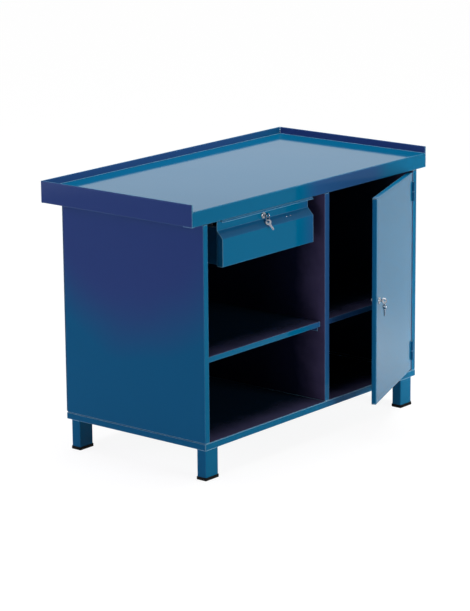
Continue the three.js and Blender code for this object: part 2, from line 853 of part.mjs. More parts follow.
// One half of a barrel hinge with a blind bore for the pin, between two heights on the hinge line.
// The crown is the rounded end, and the bore is open at the other end.
function knuckle(name, crownEnd, openEnd) {
  const up = Math.sign(openEnd - crownEnd);
  const radius = barrelDiameter / 2;
  const bore = hingePin / 2 + seam;
  const floor = crownEnd + up * hingePinWall;
  const outline = [
    [0, crownEnd],
    [radius - barrelCrown, crownEnd],
    [radius, crownEnd + up * barrelCrown],
    [radius, openEnd],
    [bore, openEnd],
    [bore, floor],
    [0, floor],
  ];
  return piece(name, solid(turned(up > 0 ? outline : outline.reverse())), bluePaint());
}

function hingePinPiece(name, bottom) {
  const from = bottom + hingePinWall + seam;
  const to = bottom + barrelLength - hingePinWall - seam;
  return piece(name, solid(rod(hingePin / 2, from, to)), zincSteel());
}

// The frame halves and pins of both hinges, on the hinge line
function frameHinges() {
  const group = new THREE.Group();
  group.position.set(hingeX, hingeY, 0);
  for (const { name, bottom } of hinges) {
    const joint = bottom + barrelLength / 2 - seam / 2;
    group.add(knuckle(`${name}_frame_knuckle`, bottom, joint), hingePinPiece(`${name}_pin`, bottom));
  }
  return group;
}

// The door pan: a face with edges folded back all round and turned in at the sides, in the bench's frame
function doorPanel() {
  const relief = bendRadius + cabinetSheet;
  const back = front + doorThickness;
  const plan = foldedSheet([
    [doorRight - doorReturn, back],
    [doorRight, back],
    [doorRight, front],
    [doorLeft, front],
    [doorLeft, back],
    [doorLeft + doorReturn, back],
  ], cabinetSheet, -1);
  const section = foldedSheet([
    [back, doorBottom],
    [front, doorBottom],
    [front, doorTop],
    [back, doorTop],
  ], cabinetSheet, -1);
  const hole = lockHole(lockBarrel / 2 + seam, doorLockX, front, doorLockZ);
  const body = solid(alongZ(plan, doorBottom + relief, doorTop - relief))
    .add(solid(alongX(section, doorLeft + relief, doorRight - relief)))
    .subtract(hingeSeats())
    .subtract(hole);
  return piece('door_panel', body, bluePaint());
}

// A top-hat stiffener down the middle of the door's inside, in the bench's frame
function doorStiffener() {
  const middle = (doorLeft + doorRight) / 2;
  const web = doorStiffenerWidth / 2;
  const near = front + cabinetSheet + seam;
  const far = front + doorThickness;
  const hat = foldedSheet([
    [middle - web - doorStiffenerFlange, near],
    [middle - web, near],
    [middle - web, far],
    [middle + web, far],
    [middle + web, near],
    [middle + web + doorStiffenerFlange, near],
  ], cabinetSheet, 1);
  const body = solid(alongZ(hat, doorBottom + doorStiffenerEndGap, doorTop - doorStiffenerEndGap));
  return piece('door_stiffener', body, bluePaint());
}

// The door is built closed, in the bench's frame, and turned open about the hinge line
function door() {
  const swung = new THREE.Group();
  swung.position.set(hingeX, hingeY, 0);
  swung.rotation.z = THREE.MathUtils.degToRad(doorAjar);
  for (const { name, bottom } of hinges) {
    const joint = bottom + barrelLength / 2 + seam / 2;
    swung.add(knuckle(`${name}_door_knuckle`, bottom + barrelLength, joint));
  }
  const closed = new THREE.Group();
  closed.position.set(-hingeX, -hingeY, 0);
  const camReach = doorLockInset + doorSideGap + doorCamBite;
  const doorLock = lock('door', cabinetSheet, camReach, 0, doorSpareTwist, 0);
  doorLock.position.set(doorLockX, front, doorLockZ);
  closed.add(doorPanel(), doorStiffener(), doorLock);
  swung.add(closed);
  return swung;
}

const bayThird = (rightWall - dividerRight) / 3;
const workbench = new THREE.Group();
workbench.add(
  worktop(),
  worktopStiffener('worktop_stiffener_left', dividerRight + bayThird),
  worktopStiffener('worktop_stiffener_right', dividerRight + 2 * bayThird),
  sidePanel('left_side_panel', -1),
  sidePanel('right_side_panel', 1),
  backPanel(),
  centreDivider(),
  cabinetFloor(),
  shelf('left_shelf', leftWall, dividerLeft - seam),
  shelf('right_shelf', dividerLeft + cabinetSheet + seam, rightWall),
  shelfAngle('left_shelf_outer_angle', leftWall, 1),
  shelfAngle('left_shelf_inner_angle', dividerLeft - seam, -1),
  shelfAngle('right_shelf_inner_angle', dividerLeft + cabinetSheet + seam, 1),
  shelfAngle('right_shelf_outer_angle', rightWall, -1),
  baseFrame(),
  legs(),
  drawerRunner('drawer_runner_left', -1),
  drawerRunner('drawer_runner_right', 1),
  drawerGuide('drawer_guide_left', -1),
  drawerGuide('drawer_guide_right', 1),
  frameHinges(),
  drawer(),
  door(),
);

export default workbench;
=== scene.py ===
# Steel workbench with a drawer, an open bay and a cabinet bay with one door
import json
import math

import bmesh
import bpy
from mathutils import Matrix, Vector


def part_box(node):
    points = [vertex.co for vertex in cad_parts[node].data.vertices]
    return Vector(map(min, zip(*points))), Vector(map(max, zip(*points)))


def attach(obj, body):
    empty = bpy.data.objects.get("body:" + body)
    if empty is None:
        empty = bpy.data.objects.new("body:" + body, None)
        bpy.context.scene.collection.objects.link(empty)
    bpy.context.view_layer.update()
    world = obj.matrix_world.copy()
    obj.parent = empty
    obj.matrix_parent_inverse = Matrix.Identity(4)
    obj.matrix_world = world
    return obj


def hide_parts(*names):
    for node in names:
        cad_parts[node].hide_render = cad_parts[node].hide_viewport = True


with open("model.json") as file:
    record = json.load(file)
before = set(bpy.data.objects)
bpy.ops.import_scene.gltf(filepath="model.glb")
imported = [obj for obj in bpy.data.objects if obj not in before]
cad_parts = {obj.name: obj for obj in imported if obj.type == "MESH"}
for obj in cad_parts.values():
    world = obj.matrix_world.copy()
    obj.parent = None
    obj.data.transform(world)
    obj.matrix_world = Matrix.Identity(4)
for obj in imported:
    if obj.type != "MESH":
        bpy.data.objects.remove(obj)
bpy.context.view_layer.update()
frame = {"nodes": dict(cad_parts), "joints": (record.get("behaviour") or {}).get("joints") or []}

MM = 0.001
TO_METRES = Matrix.Scale(MM, 4)
RIGHT = Vector((1, 0, 0))
BACK = Vector((0, 1, 0))
UP = Vector((0, 0, 1))

# Shading and merging, in degrees and millimetres
SMOOTH_ANGLE = 38
SHARP_ANGLE = 40
MERGE_GAP = 0.001

# Camera, fitted to the photograph's frame of 470 by 611
LENS = 154.12
SENSOR_WIDTH = 36
CLIP_END = 200
CAMERA_PLACE = (-6.4029, -5.2674, 2.4713)
CAMERA_YAW = 50.438
CAMERA_PITCH = -14.018
CAMERA_ROLL = -0.482

# Studio light, in metres, watts and degrees
WHITE = "#ffffff"
SIDE_GEL = "#c07cff"
SOFTBOXES = {
    "top_softbox": {"place": (0.2, 0.25, 3.2), "target": (0, 0, 0.8), "size": (2.6, 2.2), "power": 88},
    "front_softbox": {"place": (0.5, -5, 1.2), "target": (0, -0.2, 0.5), "size": (2, 0.9), "power": 130},
    "rear_softbox": {"place": (-3, 3, 0.6), "target": (-0.5, 0, 0.4), "size": (2, 1), "power": 36},
    "left_softbox": {"place": (-4.2, -0.9, 0.6), "target": (-0.5, 0, 0.4), "size": (2, 1), "power": 26},
    "side_softbox": {
        "place": (-4.5, 0.6, 3),
        "target": (-0.5, 0, 0.6),
        "size": (2.5, 1.5),
        "power": 20,
        "colour": SIDE_GEL,
    },
}
BOUNCE_PLACE = (1.3, -0.9, 2)
BOUNCE_RADIUS = 0.4
BOUNCE_SPREAD = 50
BOUNCE_POWER = 1000
WORLD_LEVEL = 0.05

# Studio floor, in metres, with the share of light by which it shows a shadow
FLOOR_FAR = "#fdfdfd"
FLOOR_NEAR = "#f2f2f2"
FLOOR_GREY = "#e1e1e1"
FLOOR_SIZE = 90
FLOOR_SPOT = 4
FLOOR_DROP = 0.0003
FLOOR_SHADOW = 0.16

# Stove enamel: colours, roughness and pattern sizes in millimetres
ENAMEL_BLUE = "#00638a"
# Violet for painted shade, on faces that turn away from the light
ENAMEL_SHADE_VIOLET = "#33457f"
# Lighter blue on the folds: partly a thinner coat, mostly a painted highlight along the fold edges
ENAMEL_THIN_FOLD_AND_HIGHLIGHT = "#86b9d6"
# Darker blue on the hinge barrels: painted shade, the same enamel drawn darker
ENAMEL_HINGE_SHADE = "#00456c"
# Pale blue on the corner beads: a painted highlight
ENAMEL_BEAD_GLINT = "#b4d3e4"
ENAMEL_ROUGHNESS = (0.06, 0.11)
ENAMEL_IOR = 1.17
FOLD_RADIUS = 3
FOLD_TURN = (0.995, 0.88)
FOLD_SHARE = 0.9
SHEET_WAVE = 240
SHEET_WAVE_HEIGHT = 0.5
PEEL = 6
PEEL_HEIGHT = 0.03

# Painted shade: where the enamel is drawn darker and violet on faces turned away from the light, in metres,
# with the strongest share of violet; on the front middle it is a painted reflection
FAR = 9
TO_LEFT = (-1, 0, 0)
TO_FRONT = (0, -1, 0)
UP_AND_FRONT = (0, -0.4, 0.92)
PAINTED_SHADE_PATCHES = {
    "left_faces": {"facing": TO_LEFT, "centre": (0, 0, 0.4), "reach": (FAR, FAR, FAR), "share": 0.2},
    "left_side": {"facing": TO_LEFT, "centre": (-0.58, 0, 0.93), "reach": (0.2, 0.64, 0.68), "share": 0.95},
    "back_rim": {"facing": TO_FRONT, "centre": (-0.6, 0.31, 0.87), "reach": (1.5, 0.1, 0.12), "share": 0.7},
    "right_rim": {"facing": TO_LEFT, "centre": (0.6, 0, 0.9), "reach": (0.05, FAR, 0.4), "share": 0.9},
    "divider": {"facing": TO_LEFT, "centre": (0.05, 0, 0.6), "reach": (0.05, FAR, 2), "share": 0.9},
    "drawer_slope": {
        "facing": UP_AND_FRONT,
        "centre": (-0.23, -0.29, 0.77),
        "reach": (0.5, 0.15, 0.07),
        "share": 0.3,
    },
    # Painted reflection on the front middle, in the same violet
    "front_middle_reflection": {
        "facing": TO_FRONT,
        "centre": (0.16, -0.31, 0.75),
        "reach": (0.25, 0.1, 0.9),
        "share": 0.6,
    },
}
PATCH_CLOUD = 0.3
PATCH_DRIFT = (0, 0, 0.12)
PATCH_FADE = 0.45
PATCH_TURN = (0.4, 0.8)

# Painted shade on the sheets that form the bays, dim violet near the opening and near black deep inside, in
# metres
INNER_SHADED_NODES = (
    "back_panel",
    "cabinet_floor",
    "centre_divider",
    "left_shelf",
    "left_side_panel",
    "right_shelf",
    "right_side_panel",
)
# Painted shade in the bays: dim near the opening, near black deep inside
INNER_SHADE_NEAR = "#574c6e"
INNER_SHADE_DEEP = "#110d17"
INNER_SHADE_SHARE = 0.88
BAY_MIDDLE = (0, 0, 0.48)
BAY_OUTER = 0.2
BAY_INNER = 0.1
BAY_FRONT = -0.3
BAY_SHADE = -0.19
BAY_CLOUD = 0.1
BAY_DRIFT = 0.1

# Metals and plastic: colours, roughness and pattern sizes in millimetres
NICKEL = "#b9c1ca"
NICKEL_WEAR_AND_DARK_REFLECTION = "#2f3842"
NICKEL_ROUGHNESS = (0.1, 0.32)
NICKEL_MARK = 3
NICKEL_MARK_DEPTH = 0.02
NICKEL_STRETCH = (1, 1, 9)
NICKEL_DARK_PATCH_RANGE = (0.4, 0.64)
ZINC = "#a7adb3"
ZINC_DARK = "#8d949b"
ZINC_ROUGHNESS = (0.32, 0.55)
ZINC_SPANGLE = 9
ZINC_LINE = 30
ZINC_STRETCH = (14, 1, 14)
CAP_BLACK = "#030303"
CAP_SCUFF = "#0b0b0c"
CAP_ROUGHNESS = (0.45, 0.65)
CAP_IOR = 1.15
CAP_GRAIN = 1.5
CAP_GRAIN_HEIGHT = 0.1

# Locks, in millimetres, in a frame with x right, y up and z out of the face
PLUG_RADIUS = 6
PLUG_GAP = 0.3
BORE_BREAK = 0.4
LOCK_BARREL = 9
LOCK_DEPTH = 17.2
COLLAR_RADIUS = 11
COLLAR_HEIGHT = 3
COLLAR_SEAT = 0.1
THREAD_START = 1.6
THREAD_FREE = 2.2
THREAD_PITCH = 1.5
THREAD_DEPTH = 0.5

# Lock collar's face, in millimetres: radius, and depth below the collar's top
COLLAR_GROOVE = ((8.2, 0), (8.5, 0.35), (8.9, 0.3))
COLLAR_CROWN = ((9.6, 0.4), (10.4, 0.9), (10.9, 1.8), (COLLAR_RADIUS, 2.3))

# Screw and washer behind each cam, in millimetres
CAM_BACK = -20.3
WASHER_RADIUS = 6.9
WASHER_THICKNESS = 1.3
WASHER_BREAK = 0.3
SCREW_HEAD_OUTER = 4.6
SCREW_HEAD_INNER = 5.2
SCREW_HEAD_HEIGHT = 3.4
SCREW_HEAD_SINK = 0.1
SCREW_HEAD_BREAK = 0.35

# Keys and rings, in millimetres and degrees
KEY_THICKNESS = 2
KEY_BLADE_THICKNESS = 1.7
KEY_BREAK = 0.3
KEY_BOW = 19
KEY_HOLE = 8
KEY_HOLE_OFFSET = 1.5
KEY_BLADE = 21
KEY_BLADE_HEIGHT = 7
KEY_ROOT = 1
KEY_CUTS = 4
KEY_CUT_DEPTH = 1.4
KEY_REACH = 16.5
RING_RADIUS = 6.99
RING_WIRE = 0.9
RING_PITCH = 0.95
RING_STEPS = 48
SPARE_HANG = 3.5
SPARE_TWIST = {"door": -42, "drawer": 42}
SPARE_LEAN = {"door": 0, "drawer": 43.73}

# Hinges, in millimetres
BARREL_RADIUS = 6
BARREL_CROWN = 2.2
BARREL_BREAK = 0.6
PIN_RADIUS = 3.3
PIN_WALL = 6

# Spot welds, in millimetres
SPOT_RADIUS = 3.6
SPOT_CREST_RADIUS = 2.7
SPOT_CREST = 0.4
SPOT_DISH_RADIUS = 1.98
SPOT_DISH = 0.12
SPOT_SINK = 0.05
SPOT_PITCH = 95
SPOT_INSET = 10
BACK_SPOT_END = 40
DOOR_SPOT_END = 20
STIFFENER_FLANGE = 14
STIFFENER_SHEET = 1.5

# Weld beads, in millimetres
BEAD_RADIUS = 2.4
BEAD_PITCH = 3
BEAD_INSET = 3
NOTCH_RISE = 1
CORNER_BEAD_RADIUS = 2.6
CORNER_BEAD_PITCH = 6.5
RIM_WALL = 4
RIM_HEIGHT = 23

# Rivets on the drawer's sloping face, in millimetres from the drawer's right end and its bottom
RIVET_RADIUS = 2.2
RIVET_HEIGHT = 1
RIVET_SINK = 0.05
RIVET_PLACES = (99, 118)
RIVET_RISE = 102
FACE_RISE = 88
FACE_SETBACK = 22
FACE_SLOPE = 23

# Upturned edge along the drawer's lip, in millimetres
LIP_EDGE_WIDTH = 2
LIP_EDGE_SETBACK = 2.7
LIP_EDGE_INSET = 1
LIP_EDGE_GAP = 0.4
LIP_EDGE_SINK = 0.2
LIP_EDGE_BREAK = 0.6

# Foot caps, in millimetres: steps of height and of reach past the leg's outline
FOOT_CORNER = 3
FOOT_SOLE = ((0.5, 1.7), (1.2, 2), (9.4, 1.8))
FOOT_LIP = ((10.2, 1.4), (10.4, 0.9), (10.2, 0.5), (9.8, 0.25), (7.1, 0.25))
FOOT_PLUG = ((7.1, -2.4), (21, -2.5), (23, -3.2), (23, -5), (9, -5))


def linear(colour):
    """Turns an sRGB hex value into linear red, green, blue and alpha."""
    shares = [int(colour[i:i + 2], 16) / 255 for i in (1, 3, 5)]
    return [s / 12.92 if s <= 0.04045 else ((s + 0.055) / 1.055) ** 2.4 for s in shares] + [1]


def node(tree, kind, inputs=(), **settings):
    """Adds a node; an input is set to a value or fed from another node's socket."""
    made = tree.nodes.new(kind)
    for name, value in settings.items():
        setattr(made, name, value)
    for name, value in dict(inputs).items():
        if isinstance(value, bpy.types.NodeSocket):
            tree.links.new(value, made.inputs[name])
        else:
            made.inputs[name].default_value = value
    return made


def new_material(name):
    """An empty material and its node tree."""
    made = bpy.data.materials.new(name)
    made.use_nodes = True
    made.node_tree.nodes.clear()
    return made, made.node_tree


def painted_shade_patch(tree, place, facing, centre, reach, share):
    """Painted shade: a soft violet patch with an uneven edge, on faces turned one way, drawn darker as if
    less lit.
    """
    normal = node(tree, "ShaderNodeTexCoord").outputs["Normal"]
    turned = node(tree, "ShaderNodeVectorMath", {0: normal, 1: facing}, operation="DOT_PRODUCT")
    most = node(tree, "ShaderNodeMapRange", {
        "Value": turned.outputs["Value"],
        "From Min": PATCH_TURN[0],
        "From Max": PATCH_TURN[1],
        "To Max": share,
    })
    cloud = node(tree, "ShaderNodeTexNoise", {"Vector": place, "Scale": 1 / PATCH_CLOUD, "Detail": 1})
    pushed = node(tree, "ShaderNodeVectorMath", {
        0: cloud.outputs["Color"],
        1: PATCH_DRIFT,
        2: place,
    }, operation="MULTIPLY_ADD")
    shifted = node(tree, "ShaderNodeMapping", {
        "Vector": pushed.outputs["Vector"],
        "Location": [-(c + d / 2) / r for c, d, r in zip(centre, PATCH_DRIFT, reach)],
        "Scale": [1 / r for r in reach],
    })
    ball = node(tree, "ShaderNodeTexGradient", {
        "Vector": shifted.outputs["Vector"],
    }, gradient_type="SPHERICAL")
    return node(tree, "ShaderNodeMapRange", {
        "Value": ball.outputs["Fac"],
        "From Max": PATCH_FADE,
        "To Max": most.outputs["Result"],
    }, interpolation_type="SMOOTHSTEP").outputs["Result"]


def painted_inner_shade(tree, place, coat):
    """Paints shade on faces that look into the bays, dim near the opening and darker the deeper they lie.
    """
    normal = node(tree, "ShaderNodeTexCoord").outputs["Normal"]
    offset = node(tree, "ShaderNodeVectorMath", {0: place, 1: BAY_MIDDLE}, operation="SUBTRACT")
    outward = node(tree, "ShaderNodeVectorMath", {
        0: normal,
        1: offset.outputs["Vector"],
    }, operation="DOT_PRODUCT")
    inside = node(tree, "ShaderNodeMapRange", {
        "Value": outward.outputs["Value"],
        "From Min": BAY_OUTER,
        "From Max": BAY_INNER,
        "To Max": INNER_SHADE_SHARE,
    })
    cloud = node(tree, "ShaderNodeTexNoise", {"Vector": place, "Scale": 1 / BAY_CLOUD, "Detail": 3})
    depth = node(tree, "ShaderNodeMath", {
        0: cloud.outputs["Fac"],
        1: BAY_DRIFT,
        2: node(tree, "ShaderNodeSeparateXYZ", {0: place}).outputs["Y"],
    }, operation="MULTIPLY_ADD")
    deep = node(tree, "ShaderNodeMapRange", {
        "Value": depth.outputs["Value"],
        "From Min": BAY_FRONT + BAY_DRIFT / 2,
        "From Max": BAY_SHADE + BAY_DRIFT / 2,
    })
    # Colour of the painted shade, from dim near the opening to near black deep inside
    under = node(tree, "ShaderNodeMix", {
        0: deep.outputs["Result"],
        6: linear(INNER_SHADE_NEAR),
        7: linear(INNER_SHADE_DEEP),
    }, data_type="RGBA")
    return node(tree, "ShaderNodeMix", {
        0: inside.outputs["Result"],
        6: coat,
        7: under.outputs[2],
    }, data_type="RGBA").outputs[2]


# Stove enamel on folded sheet: a smooth, glossy coat whose blue is drawn violet in places as painted
# shade, lighter on the folds as a thinner coat and a painted highlight, with the slight waves of thin
# sheet and an orange peel that is drawn coarser than the real one so that it shows
def stove_enamel(name, blue, patches=PAINTED_SHADE_PATCHES, inner_shade=False):
    made, tree = new_material(name)
    place = node(tree, "ShaderNodeTexCoord").outputs["Object"]
    # Share of painted shade: the strongest of the violet patches
    shade_share = 0
    for patch in patches.values():
        shade_share = node(tree, "ShaderNodeMath", {
            0: shade_share,
            1: painted_shade_patch(tree, place, **patch),
        }, operation="MAXIMUM").outputs["Value"]
    coat = node(tree, "ShaderNodeMix", {
        0: shade_share,
        6: linear(blue),
        7: linear(ENAMEL_SHADE_VIOLET),
    }, data_type="RGBA").outputs[2]
    # Painted shade inside the bays
    if inner_shade:
        coat = painted_inner_shade(tree, place, coat)
    # Lighter on the folds: a thinner coat there and a painted highlight along the edges
    folds = node(tree, "ShaderNodeBevel", {"Radius": FOLD_RADIUS * MM}, samples=8)
    facing = node(tree, "ShaderNodeNewGeometry").outputs["Normal"]
    turn = node(tree, "ShaderNodeVectorMath", {
        0: folds.outputs["Normal"],
        1: facing,
    }, operation="DOT_PRODUCT")
    thin_fold_and_highlight = node(tree, "ShaderNodeMapRange", {
        "Value": turn.outputs["Value"],
        "From Min": FOLD_TURN[0],
        "From Max": FOLD_TURN[1],
        "To Max": FOLD_SHARE,
    })
    colour = node(tree, "ShaderNodeMix", {
        0: thin_fold_and_highlight.outputs["Result"],
        6: coat,
        7: linear(ENAMEL_THIN_FOLD_AND_HIGHLIGHT),
    }, data_type="RGBA")
    sheet = node(tree, "ShaderNodeTexNoise", {"Vector": place, "Scale": 1 / (SHEET_WAVE * MM), "Detail": 0})
    waves = node(tree, "ShaderNodeBump", {
        "Height": sheet.outputs["Fac"],
        "Distance": SHEET_WAVE_HEIGHT * MM,
        "Normal": folds.outputs["Normal"],
    })
    peel = node(tree, "ShaderNodeTexNoise", {"Vector": place, "Scale": 1 / (PEEL * MM), "Detail": 2})
    skin = node(tree, "ShaderNodeBump", {
        "Height": peel.outputs["Fac"],
        "Distance": PEEL_HEIGHT * MM,
        "Normal": waves.outputs["Normal"],
    })
    gloss = node(tree, "ShaderNodeMapRange", {
        "Value": peel.outputs["Fac"],
        "To Min": ENAMEL_ROUGHNESS[0],
        "To Max": ENAMEL_ROUGHNESS[1],
    })
    surface = node(tree, "ShaderNodeBsdfPrincipled", {
        "Base Color": colour.outputs[2],
        "Roughness": gloss.outputs["Result"],
        "IOR": ENAMEL_IOR,
        "Specular Tint": linear(ENAMEL_BLUE),
        "Normal": skin.outputs["Normal"],
    })
    node(tree, "ShaderNodeOutputMaterial", {"Surface": surface.outputs["BSDF"]})
    return made


# Bright nickel plate on a turned or stamped part: a cool mirror, darkened in patches by handling and by a
# painted dark reflection, whose marks are drawn coarser than real ones so that they show
def nickel_plate():
    made, tree = new_material("bright_nickel_plate")
    place = node(tree, "ShaderNodeTexCoord").outputs["Object"]
    drawn = node(tree, "ShaderNodeMapping", {"Vector": place, "Scale": NICKEL_STRETCH})
    marks = node(tree, "ShaderNodeTexNoise", {
        "Vector": drawn.outputs["Vector"],
        "Scale": 1 / (NICKEL_MARK * MM),
        "Detail": 4,
    })
    wear_and_dark_reflection = node(tree, "ShaderNodeMapRange", {
        "Value": marks.outputs["Fac"],
        "From Min": NICKEL_DARK_PATCH_RANGE[0],
        "From Max": NICKEL_DARK_PATCH_RANGE[1],
    })
    # Dark patches: handling marks and a painted dark reflection
    tint = node(tree, "ShaderNodeMix", {
        0: wear_and_dark_reflection.outputs["Result"],
        6: linear(NICKEL),
        7: linear(NICKEL_WEAR_AND_DARK_REFLECTION),
    }, data_type="RGBA")
    gloss = node(tree, "ShaderNodeMapRange", {
        "Value": marks.outputs["Fac"],
        "To Min": NICKEL_ROUGHNESS[0],
        "To Max": NICKEL_ROUGHNESS[1],
    })
    skin = node(tree, "ShaderNodeBump", {
        "Height": marks.outputs["Fac"],
        "Distance": NICKEL_MARK_DEPTH * MM,
    })
    surface = node(tree, "ShaderNodeBsdfPrincipled", {
        "Base Color": tint.outputs[2],
        "Metallic": 1,
        "Roughness": gloss.outputs["Result"],
        "Normal": skin.outputs["Normal"],
    })
    node(tree, "ShaderNodeOutputMaterial", {"Surface": surface.outputs["BSDF"]})
    return made


# Zinc plate on rolled steel: a dull blue-grey metal with faint spangle and rubbed lines
def zinc_plate():
    made, tree = new_material("zinc_plated_steel")
    place = node(tree, "ShaderNodeTexCoord").outputs["Object"]
    spangle = node(tree, "ShaderNodeTexVoronoi", {"Vector": place, "Scale": 1 / (ZINC_SPANGLE * MM)})
    rolled = node(tree, "ShaderNodeMapping", {"Vector": place, "Scale": ZINC_STRETCH})
    lines = node(tree, "ShaderNodeTexNoise", {
        "Vector": rolled.outputs["Vector"],
        "Scale": 1 / (ZINC_LINE * MM),
        "Detail": 3,
    })
    tint = node(tree, "ShaderNodeMix", {
        0: spangle.outputs["Distance"],
        6: linear(ZINC),
        7: linear(ZINC_DARK),
    }, data_type="RGBA")
    gloss = node(tree, "ShaderNodeMapRange", {
        "Value": lines.outputs["Fac"],
        "To Min": ZINC_ROUGHNESS[0],
        "To Max": ZINC_ROUGHNESS[1],
    })
    surface = node(tree, "ShaderNodeBsdfPrincipled", {
        "Base Color": tint.outputs[2],
        "Metallic": 1,
        "Roughness": gloss.outputs["Result"],
    })
    node(tree, "ShaderNodeOutputMaterial", {"Surface": surface.outputs["BSDF"]})
    return made


# Polyethylene foot caps, moulded: a deep black with a matt grain, drawn coarser than the real one so
# that it shows
def moulded_plastic():
    made, tree = new_material("moulded_black_polyethylene")
    place = node(tree, "ShaderNodeTexCoord").outputs["Object"]
    grain = node(tree, "ShaderNodeTexNoise", {"Vector": place, "Scale": 1 / (CAP_GRAIN * MM), "Detail": 2})
    tint = node(tree, "ShaderNodeMix", {
        0: grain.outputs["Fac"],
        6: linear(CAP_BLACK),
        7: linear(CAP_SCUFF),
    }, data_type="RGBA")
    skin = node(tree, "ShaderNodeBump", {
        "Height": grain.outputs["Fac"],
        "Distance": CAP_GRAIN_HEIGHT * MM,
    })
    gloss = node(tree, "ShaderNodeMapRange", {
        "Value": grain.outputs["Fac"],
        "To Min": CAP_ROUGHNESS[0],
        "To Max": CAP_ROUGHNESS[1],
    })
    surface = node(tree, "ShaderNodeBsdfPrincipled", {
        "Base Color": tint.outputs[2],
        "Roughness": gloss.outputs["Result"],
        "IOR": CAP_IOR,
        "Normal": skin.outputs["Normal"],
    })
    node(tree, "ShaderNodeOutputMaterial", {"Surface": surface.outputs["BSDF"]})
    return made


FINISH = {
    "blue_paint": stove_enamel("stove_enamel_blue", ENAMEL_BLUE),
    "inner_shaded_paint": stove_enamel("stove_enamel_with_painted_inner_shade", ENAMEL_BLUE, inner_shade=True),
    "hinge_shaded_paint": stove_enamel("stove_enamel_with_painted_hinge_shade", ENAMEL_HINGE_SHADE),
    # Painted highlight on the corner beads, without the patches of painted shade
    "bead_glint_paint": stove_enamel("stove_enamel_with_painted_bead_glints", ENAMEL_BEAD_GLINT, patches={}),
    "nickel": nickel_plate(),
    "zinc_steel": zinc_plate(),
    "black_plastic": moulded_plastic(),
}


def seen_directly(tree):
    """One where a ray comes from the camera, a mirror or glass, and nought for light on the object."""
    rays = node(tree, "ShaderNodeLightPath").outputs
    mirror = node(tree, "ShaderNodeMath", {
        0: rays["Is Glossy Ray"],
        1: rays["Is Transmission Ray"],
    }, operation="MAXIMUM")
    return node(tree, "ShaderNodeMath", {
        0: rays["Is Camera Ray"],
        1: mirror.outputs["Value"],
    }, operation="MAXIMUM").outputs["Value"]


# White studio floor: a pale ground that darkens only in the object's shadow
def floor_paint():
    made, tree = new_material("white_studio_floor")
    place = node(tree, "ShaderNodeTexCoord").outputs["Object"]
    spot = node(tree, "ShaderNodeMapping", {"Vector": place, "Scale": [1 / FLOOR_SPOT] * 3})
    near = node(tree, "ShaderNodeTexGradient", {
        "Vector": spot.outputs["Vector"],
    }, gradient_type="QUADRATIC_SPHERE")
    tint = node(tree, "ShaderNodeMix", {
        0: near.outputs["Fac"],
        6: linear(FLOOR_FAR),
        7: linear(FLOOR_NEAR),
    }, data_type="RGBA")
    shade = node(tree, "ShaderNodeBsdfDiffuse", {"Color": [FLOOR_SHADOW] * 3 + [1]})
    glow = node(tree, "ShaderNodeEmission", {"Color": tint.outputs[2], "Strength": 1})
    shown = node(tree, "ShaderNodeAddShader", {0: shade.outputs["BSDF"], 1: glow.outputs["Emission"]})
    bounce = node(tree, "ShaderNodeBsdfDiffuse", {"Color": linear(FLOOR_GREY)})
    mixed = node(tree, "ShaderNodeMixShader", {
        0: seen_directly(tree),
        1: bounce.outputs["BSDF"],
        2: shown.outputs["Shader"],
    })
    node(tree, "ShaderNodeOutputMaterial", {"Surface": mixed.outputs["Shader"]})
    return made


def studio_floor():
    """A wide flat floor just below the feet."""
    shape = bmesh.new()
    bmesh.ops.create_grid(shape, x_segments=1, y_segments=1, size=FLOOR_SIZE / 2)
    mesh = bpy.data.meshes.new("studio_floor")
    shape.to_mesh(mesh)
    shape.free()
    mesh.materials.append(floor_paint())
    floor = bpy.data.objects.new("studio_floor", mesh)
    bpy.context.scene.collection.objects.link(floor)
    floor.location.z = -FLOOR_DROP


def studio_world():
    """A white surround that lights the object only a little."""
    world = bpy.data.worlds.new("studio")
    world.use_nodes = True
    tree = world.node_tree
    tree.nodes.clear()
    soft = node(tree, "ShaderNodeBackground", {"Color": linear(WHITE), "Strength": WORLD_LEVEL})
    white = node(tree, "ShaderNodeBackground", {"Color": linear(WHITE), "Strength": 1})
    mixed = node(tree, "ShaderNodeMixShader", {
        0: seen_directly(tree),
        1: soft.outputs["Background"],
        2: white.outputs["Background"],
    })
    node(tree, "ShaderNodeOutputWorld", {"Surface": mixed.outputs["Shader"]})
    bpy.context.scene.world = world


def softbox(name, place, target, size, power, colour=WHITE):
    """A wide flat lamp turned to a target, which the camera itself doesn't see."""
    lamp = bpy.data.lights.new(name, "AREA")
    lamp.shape = "RECTANGLE"
    lamp.size, lamp.size_y = size
    lamp.energy = power
    lamp.color = linear(colour)[:3]
    box = bpy.data.objects.new(name, lamp)
    box.location = place
    box.rotation_euler = (Vector(target) - Vector(place)).to_track_quat("-Z", "Y").to_euler()
    box.visible_camera = False
    bpy.context.scene.collection.objects.link(box)


def bounce_lamp():
    """A lamp turned down at the floor beside the bench, which throws its light up on the bench."""
    lamp = bpy.data.lights.new("right_bounce", "SPOT")
    lamp.spot_size = math.radians(BOUNCE_SPREAD)
    lamp.spot_blend = 1
    lamp.shadow_soft_size = BOUNCE_RADIUS
    lamp.energy = BOUNCE_POWER
    head = bpy.data.objects.new("right_bounce", lamp)
    head.location = BOUNCE_PLACE
    bpy.context.scene.collection.objects.link(head)


